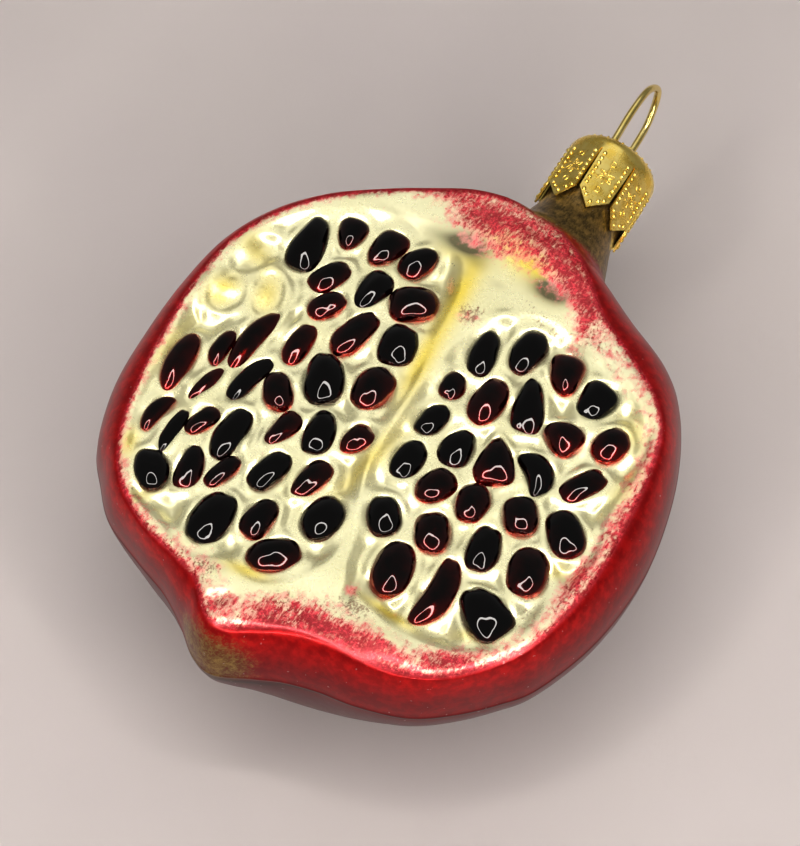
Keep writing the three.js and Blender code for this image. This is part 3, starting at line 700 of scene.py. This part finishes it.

# %% What was sprayed where, and where shade is painted
SPRAYS = {  # middle, radius across and along, turn in degrees, how much
    "crimson": [
        [-6, 28.4, 3.6, 2.8, 10, 0.6], [-1, 29, 4, 2.8, -10, 0.56], [4.2, 27.2, 3.6, 2.6, -35, 0.68],
        [9, 25.2, 3.2, 1.8, -45, 0.5], [10.6, 22.6, 1.2, 2.4, 20, 0.35], [11, 18.2, 1.1, 1, 30, 0.6],
        [-1, 16, 1.4, 1, 20, 0.35], [-11.5, 29.2, 3, 1, 20, 0.3], [-8.5, 28, 3.4, 2.2, 15, 0.42],
        [-3, 25.6, 3, 1.6, 10, 0.4], [-4, -29.4, 2.4, 1.3, 30, 0.45], [0.5, -27.4, 2.4, 1.5, 10, 0.5],
        [7, -20.5, 0.8, 0.9, 0, 0.7], [5.5, -26, 1.8, 1.3, 0, 0.4], [13.5, -25, 3, 1.4, 5, 0.6],
        [20.5, -22, 3.5, 1.4, 35, 0.6], [26.8, -6, 1.3, 4, 0, 0.5], [27.2, 3, 1.2, 4, 0, 0.42],
        [25.6, 11, 1, 3, 0, 0.3], [8, -25.6, 6, 1.6, 0, 0.48], [1, -29.2, 3, 1, 25, 0.4],
    ],
    "brown": [
        [-1, 16.4, 1.6, 1.6, 10, 0.6], [9, 20, 3, 1.6, 0, 0.35], [-9, 28.4, 3, 1.6, 0, 0.45],
        [5, 20.5, 3, 1, -20, 0.3], [8.5, -22, 2.6, 1.4, 0, 0.6], [2.5, -25.4, 3.6, 1.4, 10, 0.5],
        [12.5, 21, 2.5, 1.2, -30, 0.3], [24.5, -12.5, 1.5, 2.5, 0, 0.42], [25, 0, 1, 3, 0, 0.25],
        [-8, -26.8, 2, 0.8, 20, 0.42], [18, -19, 3, 0.8, 30, 0.3], [-20.5, -23.2, 1.6, 0.8, 60, 0.3],
    ],
    "yellow": [
        [-3.6, 18.5, 1.5, 5.5, 8, 0.9], [-2.3, 8, 1.4, 6, 8, 0.85], [-0.3, -6, 1.3, 6, -8, 0.6],
        [-26.6, 10.5, 2.6, 1.5, -25, 0.55], [-26.8, 4, 1.6, 2.2, 0, 0.75], [-22.3, 6.2, 1.5, 2.6, 20, 0.6],
        [-1, 26.5, 4.5, 2, -20, 0.95], [3.5, 25.5, 3, 1.6, -30, 0.6], [-4, -24.8, 2.6, 0.9, 12, 0.8],
        [12, -20.6, 3.5, 0.7, -4, 0.85], [22.5, 13.5, 2.5, 1.5, -50, 0.4], [25.5, 7, 1.3, 4, 0, 0.4],
        [-24.2, -18.5, 1, 2, 20, 0.6], [-27.8, -5, 0.9, 5, 0, 0.4], [24.5, -6, 1.3, 1, 0, 0.45],
        [-6.5, 22.6, 3, 1.2, 0, 0.4], [-19.5, -23.5, 2.5, 1.2, 60, 0.35], [21, -17.8, 2.5, 0.8, 30, 0.4],
    ],
    # painted shade, not sprayed paint: dark olive in the dents and creases of the face
    "painted_shade": [
        [-6.4, 24.4, 2.8, 1.5, 8, 1.6], [5.2, 24.2, 2.4, 1.5, 5, 1.9], [-12, 23.9, 4.5, 0.8, 2, 0.5],
        [-4, 22.6, 1.4, 0.9, 0, 0.4], [16, 12, 1.4, 0.8, 0, 0.3], [6.9, -20.4, 0.5, 1.4, 15, 0.7],
        [-18, 5.2, 1.2, 0.35, 80, 0.6], [-26.4, 8.2, 1.6, 0.5, -20, 0.45], [-5, 20.6, 1.2, 0.7, 0, 0.2],
        [26.2, -6, 0.7, 3.5, 0, 0.35], [-0.6, 21.5, 1, 0.5, 0, 0.25], [-7.5, -26.6, 2.4, 0.7, 25, 0.4],
        [23.5, -9.5, 1.2, 0.5, 30, 0.35], [8.5, -19.6, 1.6, 0.5, -25, 0.5],
    ],
}
BAND_WIDTH = [  # how far the crimson grains reach in from the rim, by direction in degrees
    [-180, 1.8], [-150, 1.6], [-128, 2.4], [-110, 4.5], [-90, 5.5], [-75, 6.5], [-60, 6.2], [-45, 4.5],
    [-25, 3.2], [0, 3.4], [25, 3.4], [45, 4.6], [60, 6], [75, 5], [90, 4], [105, 3.2], [120, 1.8], [150, 1.6],
    [180, 1.8],
]
NOSE = np.array([-3.6, -33.6, 24.5])  # middle of the dark flower end


def paint(mesh, points):
    """Stores on each vertex how much of each colour was sprayed there, and how much shade is painted there.
    """
    x, y, z = points.T
    angle = np.arctan2(y - BODY_MIDDLE[1], x - BODY_MIDDLE[0])
    from_edge = reach(FACE_OUTLINE, angle) - np.hypot(x - BODY_MIDDLE[0], y - BODY_MIDDLE[1])
    on_face = smooth_step(-0.15, 0.35, from_edge) * smooth_step(26, 28.4, z)
    amounts = {name: np.zeros(len(points)) for name in SPRAYS}
    for name, spots in SPRAYS.items():
        for middle_x, middle_y, across, along, turn, strength in spots:
            amounts[name] += strength * spot(x, y, middle_x, middle_y, across, along, turn)
    degrees, width = np.array(BAND_WIDTH, float).T
    width = np.interp(np.degrees(angle), degrees, width)
    band = np.clip(1 - from_edge / width, 0, 1)
    deep = np.maximum(inside_by(LEFT_CHAMBER, x, y), inside_by(RIGHT_CHAMBER, x, y))
    near = nearest_seed(x, y)
    amounts["crimson"] += 0.45 * band**0.8 + 0.8 * smooth_step(1.0, 0, from_edge)
    amounts["brown"] += 0.3 * band * smooth_step(0.1, 0.6, band)
    amounts["crimson"] *= 1 - 0.75 * smooth_step(0.2, 1.4, deep) * (band < 0.5)
    # painted shade in the hollows between the seeds' collars, deep in the chambers
    amounts["painted_shade"] += 0.45 * smooth_step(1.0, 2.2, near) * smooth_step(0.5, 1.5, deep)
    along, away = axis_of_neck(points)
    near_neck = smooth_step(11.5, 6.5, away) * smooth_step(26, 30, y)
    amounts["olive"] = near_neck * smooth_step(30.8, 33.6, along)
    nose = np.linalg.norm((points - NOSE) / np.array([1.25, 1, 1]), axis=1)
    amounts["olive"] += smooth_step(7.0, 2.5, nose) * (1 - on_face) * 0.68
    amounts["rind"] = 1 - on_face
    # painted shade, darker towards the bottom: below the face's edge, and again below the seam
    amounts["under"] = 0.6 * smooth_step(28.5, 25, z) + 0.4 * smooth_step(22, 20.5, z)
    # painted shade: a dark line just below the mould seam, widest under the flower end, where the underside
    # curves in most
    nearness = smooth_step(14, 4, np.linalg.norm(points[:, :2] - NOSE[:2], axis=1))
    line = 0.3 + 0.5 * nearness
    below = np.exp(-(((z - SEAM_Z + 0.15 + 0.8 * nearness) / line) ** 2))
    amounts["seam"] = below * ((away > 6) | (y < 0)) * smooth_step(20, 24, np.hypot(x, y))
    for name, amount in amounts.items():
        layer = mesh.attributes.new(name, "FLOAT", "POINT")
        layer.data.foreach_set("value", np.clip(amount, 0, 1.2).astype(np.float32))


paint(welded, glass_points)
welded.shade_smooth()
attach(fruit, "root")
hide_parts("glass_body")
print("glass box:", [round(c, 4) for c in glass_points.min(0)], [round(c, 4) for c in glass_points.max(0)])

# %% [markdown]
# ## The seeds
# Sixty-one raised seeds, each its own size and lean. They are bubbles in the same glass, so one round dome is
# instanced on a point for each seed, and the dome is bent to that seed's numbers with field maths. Geometry
# Nodes keep the numbers in one table, and one change to the dome reaches every seed.

# %% The seed finish
seed_finish, tree, shader = new_finish(
    "red_lacquered_seed", Metallic=1.0, Coat_Weight=0.9, Coat_Roughness=0.02, Coat_IOR=1.5
)
where = tree.node("ShaderNodeTexCoord", out="Object")
thin = stored_amount(tree, "thin")
foot = stored_amount(tree, "foot")
cloud = tree.grain(where, 0.6, detail=2.0)
# redder where the lacquer is thin, and more so towards each seed's foot; the part that grows towards the foot
# is a painted reflection of the pale pith round the seed
lacquer_redness = tree.smooth(thin * (0.4 + foot) + (cloud - 0.5) * 0.4, 0.12, 0.85)
lacquer = tree.blend(lacquer_redness, (0.001, 0.0001, 0.0001, 1), (0.2, 0.003, 0.002, 1))
# painted reflection: the foot of each thin-lacquered seed turns bright red, where the pale pith would be
# mirrored
foot_reflection = tree.smooth(foot, 0.45, 0.85) * thin
lacquer = tree.blend(foot_reflection * 0.8, lacquer, (0.42, 0.01, 0.006, 1))
ripple = tree.grain(where, 0.7, detail=1.0)
uneven = tree.node("ShaderNodeBump", {}, {"Strength": 0.25, "Distance": 0.08 * MM, "Height": ripple})
feed(tree, shader, Base_Color=lacquer, Roughness=0.12 + foot * 0.12, Normal=uneven)
print("seed finish:", len(tree.tree.nodes), "nodes")

# %% A point for every seed, with its numbers
SEED_RISE = 0.42  # height of a seed over its outline, as a share of its width
SEED_ROOT = 0.5  # how deep a seed's foot is sunk into the glass, in millimetres
FIELDS = ["length", "width", "turn", "taper", "bend", "thin"]

seed_points = bpy.data.meshes.new("seed_points")
seed_points.from_pydata([(s[0] * MM, s[1] * MM, (FACE_Z - PITH_DEPTH) * MM) for s in SEEDS], [], [])
columns = np.array(SEEDS, float)[:, 2:]
columns[:, :2] *= MM
columns[:, 2] = np.radians(columns[:, 2])
for name, column in zip(FIELDS, columns.T):
    seed_points.attributes.new(name, "FLOAT", "POINT").data.foreach_set("value", column.astype(np.float32))
seed_holder = bpy.data.objects.new("seed_points", seed_points)
stage_scene.collection.objects.link(seed_holder)
print("points:", len(seed_points.vertices), "with", ", ".join(FIELDS))


# %% Helpers for Geometry Nodes
def new_geometry_tree(name, inputs):
    """A geometry tree with a mesh in, a mesh out and named number inputs."""
    tree = bpy.data.node_groups.new(name, "GeometryNodeTree")
    tree.interface.new_socket("Geometry", in_out="INPUT", socket_type="NodeSocketGeometry")
    for label in inputs:
        tree.interface.new_socket(label, in_out="INPUT", socket_type="NodeSocketFloat")
    tree.interface.new_socket("Geometry", in_out="OUTPUT", socket_type="NodeSocketGeometry")
    return Tree(tree), tree.nodes.new("NodeGroupInput")


def grow(holder, tree, inputs, name):
    """Runs a geometry tree on an object and keeps the result as a plain mesh object."""
    modifier = holder.modifiers.new("grow", "NODES")
    modifier.node_group = tree.tree
    for item in tree.tree.interface.items_tree:
        if item.in_out == "INPUT" and item.name in inputs:
            modifier[item.identifier] = inputs[item.name]
    mesh = applied(holder)
    bpy.data.objects.remove(holder)
    mesh.name = name
    mesh.shade_smooth()
    made = bpy.data.objects.new(name, mesh)
    stage_scene.collection.objects.link(made)
    return made


def finish_tree(tree, geometry):
    """Sends the last geometry of a tree to its output."""
    end = tree.tree.nodes.new("NodeGroupOutput")
    tree.tree.links.new(geometry.socket, end.inputs[0])


def read_field(tree, name, kind="FLOAT"):
    """A number or a vector stored on the points."""
    return tree.node("GeometryNodeInputNamedAttribute", {"data_type": kind}, {"Name": name})


def store_field(tree, geometry, name, value, kind="FLOAT"):
    """The geometry with a number or a vector stored on its points."""
    sockets = {"Geometry": geometry, "Name": name, "Value": value}
    return tree.node("GeometryNodeStoreNamedAttribute", {"data_type": kind, "domain": "POINT"}, sockets)


# %% One dome on every seed's point
inputs = {"Rise": SEED_RISE, "Root": SEED_ROOT * MM, "Unevenness": 0.4, "Squareness": 0.07}
tree, given = new_geometry_tree("seeds_on_points", inputs)
holder = Value(tree, given.outputs["Geometry"])
rise, root, unevenness, squareness = (Value(tree, given.outputs[label]) for label in inputs)
place = tree.node("GeometryNodeInputPosition")
holder = store_field(tree, holder, "spot", place, "FLOAT_VECTOR")
dome = tree.node("GeometryNodeMeshUVSphere", {}, {"Segments": 36, "Rings": 20, "Radius": 1.0})
dome = store_field(tree, dome, "dome", place, "FLOAT_VECTOR")
domes = tree.node("GeometryNodeInstanceOnPoints", {}, {"Points": holder, "Instance": dome})
domes = tree.node("GeometryNodeRealizeInstances", {}, {"Geometry": domes})
print("seed tree:", len(tree.tree.nodes), "nodes before the domes are bent")

# %% Each dome is bent to its seed's numbers
on_dome = read_field(tree, "dome", "FLOAT_VECTOR")
middle = read_field(tree, "spot", "FLOAT_VECTOR")
length, width, turn, taper, bend = (read_field(tree, name) for name in FIELDS[:5])
noise_at = tree.node("ShaderNodeVectorMath", {"operation": "SCALE"}, {0: middle, 3: 900.0})
noise_at = tree.node("ShaderNodeVectorMath", {"operation": "ADD"}, [on_dome, noise_at])
wobble = tree.node("ShaderNodeTexNoise", {}, {"Vector": noise_at, "Scale": 0.9, "Detail": 1.5})
flat_x, flat_y, lift = (tree.node("ShaderNodeSeparateXYZ", {}, [on_dome], out=k) for k in range(3))
diagonal = flat_x * flat_y * 2 / (flat_x * flat_x + flat_y * flat_y + 1e-6)
swell = 1.05 + ((wobble - 0.5) * unevenness + diagonal * diagonal * squareness) * (1 - lift * lift)
u, v = flat_x * swell, flat_y * swell
across = (v * (1 - taper * u) + bend * (0.5 - u * u)) * width / 2
along = u * length / 2
cosine, sine = turn.sum("COSINE", turn), turn.sum("SINE", turn)
above, below = lift.sum("MAXIMUM", lift, 0.0), lift.sum("MINIMUM", lift, 0.0)
height = above * width * rise * (1 + (wobble - 0.5) * unevenness) + below * root
offset = tree.node(
    "ShaderNodeCombineXYZ", {}, [along * cosine - across * sine, along * sine + across * cosine, height]
)
target = tree.node("ShaderNodeVectorMath", {"operation": "ADD"}, [middle, offset])
domes = tree.node("GeometryNodeSetPosition", {}, {"Geometry": domes, "Position": target})
domes = store_field(tree, domes, "foot", 1 - above)
domes = tree.node("GeometryNodeSetMaterial", {}, {"Geometry": domes, "Material": seed_finish})
finish_tree(tree, domes)

seeds = grow(seed_holder, tree, inputs, "seeds")
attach(seeds, "root")
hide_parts("glass_body")
unlit.objects.link(seeds)  # the panel lights all but what this collection excludes
unlit.collection_objects[0].light_linking.link_state = "EXCLUDE"
print("seeds:", len(seeds.data.polygons), "faces")

# %% [markdown]
# ## The cap
# One sheet of thin gold-coloured metal, drawn into a cup and slit into eight pointed tabs, each stamped with
# the same beads and the same small flower. One eighth is built as a grid, and one tab's stamping as small
# shapes on it. Geometry Nodes turn eight of each round the neck, and weld the eighths along the crown.

# %% The metal finishes
def metal_finish(name, low, high, roughness):
    """Gold-coloured metal with slightly uneven colour, polish and surface."""
    material, tree, shader = new_finish(name, Metallic=1.0)
    where = tree.node("ShaderNodeTexCoord", out="Object")
    cloud = tree.grain(where, 0.7, detail=4.0, rough=0.6)
    brushed = tree.node("ShaderNodeMapping", {}, {"Vector": where, "Scale": (1, 0.12, 1)})
    streak = tree.grain(brushed, 6.0, detail=2.0)
    bump = tree.node("ShaderNodeBump", {}, {"Strength": 0.2, "Distance": 0.02 * MM, "Height": streak})
    colour = tree.blend(tree.smooth(cloud, 0.3, 0.7), low, high)
    feed(tree, shader, Base_Color=colour, Roughness=roughness + (cloud - 0.5) * 0.2, Normal=bump)
    return material


cap_finish = metal_finish("gold_sheet", (0.88, 0.62, 0.12, 1), (0.97, 0.78, 0.26, 1), 0.28)
wire_finish = metal_finish("gold_wire", (0.72, 0.56, 0.18, 1), (0.86, 0.7, 0.3, 1), 0.2)
print("metal finishes:", cap_finish.name, "and", wire_finish.name)

# %% One eighth of the cap
SHEET = 0.25  # thickness of the metal
CAP_RADIUS = 5.77
CAP_TOP_Y = 48.4
CAP_SHOULDER = 1.6
TAB_COUNT = 8
TAB_TURN = math.radians(14)  # from straight up to the middle of the first tab
SLIT_TOP_Y = 45.9
TAB_CORNER_Y = 39.75
TAB_TIP_Y = 37.8
SLIT_WIDTH = [0.2, 0.5]  # at its top and at the tab's corners
SLIT_START_Y = 45.7  # where its width is first measured
TIP_WIDTH = 0.04  # the blunt tip, as a share of the tab's width
FLATNESS = 0.85  # how flat the tabs are pressed, from round to flat
FLAT_PLACES = [47.4, 45.0]  # where the pressing starts, and where it is full
HALF_TURN = math.pi / TAB_COUNT
HALF_TAB = CAP_RADIUS * HALF_TURN


def cap_radius(turn, y):
    """Distance from the axis on a tab's sheet, flatter below the shoulder."""
    flat = FLATNESS * smooth_step(*FLAT_PLACES, y)
    return CAP_RADIUS * (1 - flat + flat * math.cos(HALF_TURN * 0.55) / np.cos(turn))


def sheet_point(across, y):
    """A point of a tab from its distance across the middle line and its place along the axis."""
    turn = across / CAP_RADIUS
    radius = cap_radius(turn, y)
    return [radius * math.sin(turn), y, radius * math.cos(turn)]


def on_shoulder(bow):
    """Radius and place along the axis on the rounded shoulder, by the angle turned down from the top."""
    radius = CAP_RADIUS - CAP_SHOULDER + CAP_SHOULDER * math.sin(bow)
    return radius, CAP_TOP_Y - CAP_SHOULDER * (1 - math.cos(bow))


def eighth():
    """Crown, shoulder and tab of one eighth of the cap, drawn about the middle of the tab."""
    columns = np.linspace(-1, 1, 15)
    rings = [(radius, CAP_TOP_Y) for radius in np.linspace(0.25, CAP_RADIUS - CAP_SHOULDER, 7)]
    rings += [on_shoulder(bow) for bow in np.linspace(0, math.pi / 2, 9)[1:]]
    rows = [
        [[radius * math.sin(c * HALF_TURN), y, radius * math.cos(c * HALF_TURN)] for c in columns]
        for radius, y in rings
    ]
    rows += [[sheet_point(c * HALF_TAB, y) for c in columns] for y in (46.4, SLIT_TOP_Y)]
    for y in [SLIT_START_Y, *np.linspace(45.2, TAB_CORNER_Y, 12), 39.2, 38.7, 38.2, TAB_TIP_Y]:
        half = HALF_TAB - np.interp(y, [TAB_CORNER_Y, SLIT_START_Y], SLIT_WIDTH[::-1]) / 2
        if y < TAB_CORNER_Y:
            half *= TIP_WIDTH + (1 - TIP_WIDTH) * (y - TAB_TIP_Y) / (TAB_CORNER_Y - TAB_TIP_Y)
        rows.append([sheet_point(c * half, y) for c in columns])
    wide = len(columns)
    points = np.array(rows).reshape(-1, 3)
    faces = [
        (k * wide + i, (k + 1) * wide + i, (k + 1) * wide + i + 1, k * wide + i + 1)
        for k in range(len(rows) - 1)
        for i in range(wide - 1)
    ]
    return points, faces


print("one eighth of the cap:", len(eighth()[1]), "faces")

# %% Beads and flower of one tab
BEAD = 0.3  # radius of the border's beads
CIRCLE = 0.36  # radius of the two stamped circles
FLOWER_Y = 42.6
STAMPED_LINE = 0.1  # half the width of a stamped line


def low_bead(middle, outward, radius, height, sides=10):
    """A low bead on the sheet, from four rings and a top."""
    outward = np.array(outward, float)
    outward /= np.linalg.norm(outward)
    across = np.cross([0.0, 1.0, 0.0], outward)
    across /= np.linalg.norm(across)
    upward = np.cross(outward, across)
    turn = np.arange(sides) / sides * 2 * math.pi
    rings = []
    for share, lift in [(1.0, -0.12), (1.0, 0.05), (0.8, 0.6), (0.42, 0.93)]:
        ring = across[None] * np.cos(turn)[:, None] + upward[None] * np.sin(turn)[:, None]
        rings.append(np.array(middle) + ring * radius * share + outward * height * lift)
    points = [*np.concatenate(rings), np.array(middle) + outward * height]
    faces = []
    for k in range(len(rings) - 1):
        faces += faces_between(k * sides, (k + 1) * sides, sides)
    last = (len(rings) - 1) * sides
    faces += [(last + i, last + (i + 1) % sides, len(points) - 1) for i in range(sides)]
    faces.append(tuple(range(sides))[::-1])
    return points, faces


def joined(shapes):
    """Several shapes as one list of points and one of faces."""
    points, faces = [], []
    for more, their in shapes:
        faces += [tuple(int(i) + len(points) for i in face) for face in their]
        points += list(more)
    return points, faces


def stamped_line(shape, middle_y):
    """A raised line on the tab along a closed flat shape."""
    return tube([sheet_point(across, middle_y + up) for across, up in shape], STAMPED_LINE, 6)


def stamping():
    """The beads along a tab's edges, its two circles, its flower, and the small beads round the crown."""
    edge = HALF_TAB - 0.62
    beads = [(side * edge, y) for y in np.arange(45.3, 40.2, -0.76) for side in (-1, 1)]
    beads += [(side * share * edge, 39.9 - 1.35 * (1 - share)) for share in (0.86, 0.52) for side in (-1, 1)]
    beads += [(0.0, 38.62)]
    shapes = []
    for across, y in beads:
        at = sheet_point(across, y)
        shapes.append(low_bead(at, [at[0], 0, at[2]], BEAD, 0.2))
    rim = [(CIRCLE * math.cos(t), CIRCLE * math.sin(t)) for t in np.linspace(0, 2 * math.pi, 25)[:-1]]
    shapes += [stamped_line(rim, y) for y in (44.6, 40.55)]
    petals = [
        (0.7 + 0.42 * math.cos(6 * t)) * np.array([math.sin(t), math.cos(t)])
        for t in np.linspace(0, 2 * math.pi, 61)[:-1]
    ]
    shapes.append(stamped_line(petals, FLOWER_Y))
    bow = math.radians(34)
    radius, y = on_shoulder(bow)
    for c in (-0.75, -0.25, 0.25, 0.75):
        turn = c * HALF_TURN
        outward = [math.sin(turn) * math.sin(bow), math.cos(bow), math.cos(turn) * math.sin(bow)]
        shapes.append(low_bead([radius * math.sin(turn), y, radius * math.cos(turn)], outward, 0.17, 0.13, 8))
    return joined(shapes)


print("stamping of one tab:", len(stamping()[1]), "faces")


# %% Eight copies round the neck
def ring_of_eight(name, points, faces, material, weld_gap):
    """Turns eight copies round the Y axis with Geometry Nodes and welds them."""
    first_one = mesh_object(name + "_eighth", points, faces, material)
    labels = {"Count": float(TAB_COUNT), "First turn": TAB_TURN, "Weld gap": weld_gap * MM}
    tree, given = new_geometry_tree(name, labels)
    count, first_turn, gap = (Value(tree, given.outputs[label]) for label in labels)
    line = tree.node("GeometryNodeMeshLine", {}, {"Count": count, "Offset": (0, 0, 0)})
    number = tree.node("GeometryNodeInputIndex")
    spin = tree.node("ShaderNodeCombineXYZ", {}, [0.0, first_turn + number * (2 * math.pi) / count, 0.0])
    sockets = {"Points": line, "Instance": Value(tree, given.outputs["Geometry"]), "Rotation": spin}
    copies = tree.node("GeometryNodeInstanceOnPoints", {}, sockets)
    copies = tree.node("GeometryNodeRealizeInstances", {}, {"Geometry": copies})
    copies = tree.node("GeometryNodeMergeByDistance", {}, {"Geometry": copies, "Distance": gap})
    copies = tree.node("GeometryNodeSetMaterial", {}, {"Geometry": copies, "Material": material})
    finish_tree(tree, copies)
    return grow(first_one, tree, labels, name)


def lean_mesh(made):
    """Moves a mesh that was built about the Y axis onto the neck's axis."""
    points = np.array([v.co[:] for v in made.data.vertices]) / MM
    made.data.vertices.foreach_set("co", (leaning(points) * MM).astype(np.float32).ravel())
    made.data.update()
    return made


# %% The cap with its tabs
cup = ring_of_eight("cup", *eighth(), cap_finish, 0.02)
thicken = cup.modifiers.new("sheet", "SOLIDIFY")
thicken.thickness = SHEET * MM
thicken.offset = -1
print("cup:", len(cup.data.polygons), "faces before it gets its thickness")

# %% Two holes for the wire
LEG_SPREAD = 3.3  # from the middle of the loop to each leg at the cap
LOOP_TURN = math.radians(94)  # from +X to the loop's plane, seen from the loop
LOOP_SHIFT = -0.55  # the loop's middle beside the neck's axis
HOLE_RADIUS = 0.75


def on_loop(across, along):
    """A point in the loop's plane, before it leans with the neck."""
    return [LOOP_SHIFT + across * math.cos(LOOP_TURN), along, across * math.sin(LOOP_TURN)]


rod, rod_faces = turned([[HOLE_RADIUS, CAP_TOP_Y - 1], [HOLE_RADIUS, CAP_TOP_Y + 1]], 24)
hole_places = [on_loop(across, 0) for across in (-LEG_SPREAD, LEG_SPREAD)]
drills = [mesh_object("drill", rod + place, rod_faces, cap_finish) for place in hole_places]
for drill in drills:
    add_boolean(cup, "DIFFERENCE", drill)
drilled = applied(cup)
cup.data = drilled
for drill in drills:
    bpy.data.objects.remove(drill)
drilled.shade_smooth()
drilled.set_sharp_from_angle(angle=math.radians(35))
print("holes:", len(drills), "of", 2 * HOLE_RADIUS, "mm")

# %% The cap and its stamping, leaning with the neck
beads = ring_of_eight("stamping", *stamping(), cap_finish, 0.0)
for made, name in ((cup, "stamped_cap"), (beads, "cap_stamping")):
    lean_mesh(made)
    made.name = name
    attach(made, "root")
    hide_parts("cap")
print("cap:", len(cup.data.polygons), "faces and", len(beads.data.polygons), "in its stamping")

# %% [markdown]
# ## The wire
# One springy wire, bent round a peg into the loop, with two legs that go through the cap and spread inside
# the neck. A path and a round section describe it completely, so it is a tube swept along a smooth curve.

# %% The hanger wire
WIRE = 0.9  # diameter
half = [[3.9, 34], [3.3, 38], [3.2, 42], [LEG_SPREAD, 46], [LEG_SPREAD + 0.1, 48.5], [3.9, 53.5], [3.1, 57.8]]
route = [on_loop(-a, b) for a, b in half] + [on_loop(0, 60.2)] + [on_loop(a, b) for a, b in half[::-1]]


def open_curve(corners, steps=14):
    """A smooth open curve through the corners."""
    p = np.asarray(corners, float)
    p = np.concatenate([[2 * p[0] - p[1]], p, [2 * p[-1] - p[-2]]])
    return np.concatenate([cubic_between(p[:-3], p[1:-2], p[2:-1], p[3:], steps), p[-2:-1]])


wire_points, wire_faces = tube(leaning(open_curve(route)), WIRE / 2, 20, closed=False)
hanger = mesh_object("wire_loop", wire_points, wire_faces, wire_finish)
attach(hanger, "root")
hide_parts("hanger_wire")
print("wire:", len(wire_faces), "faces")
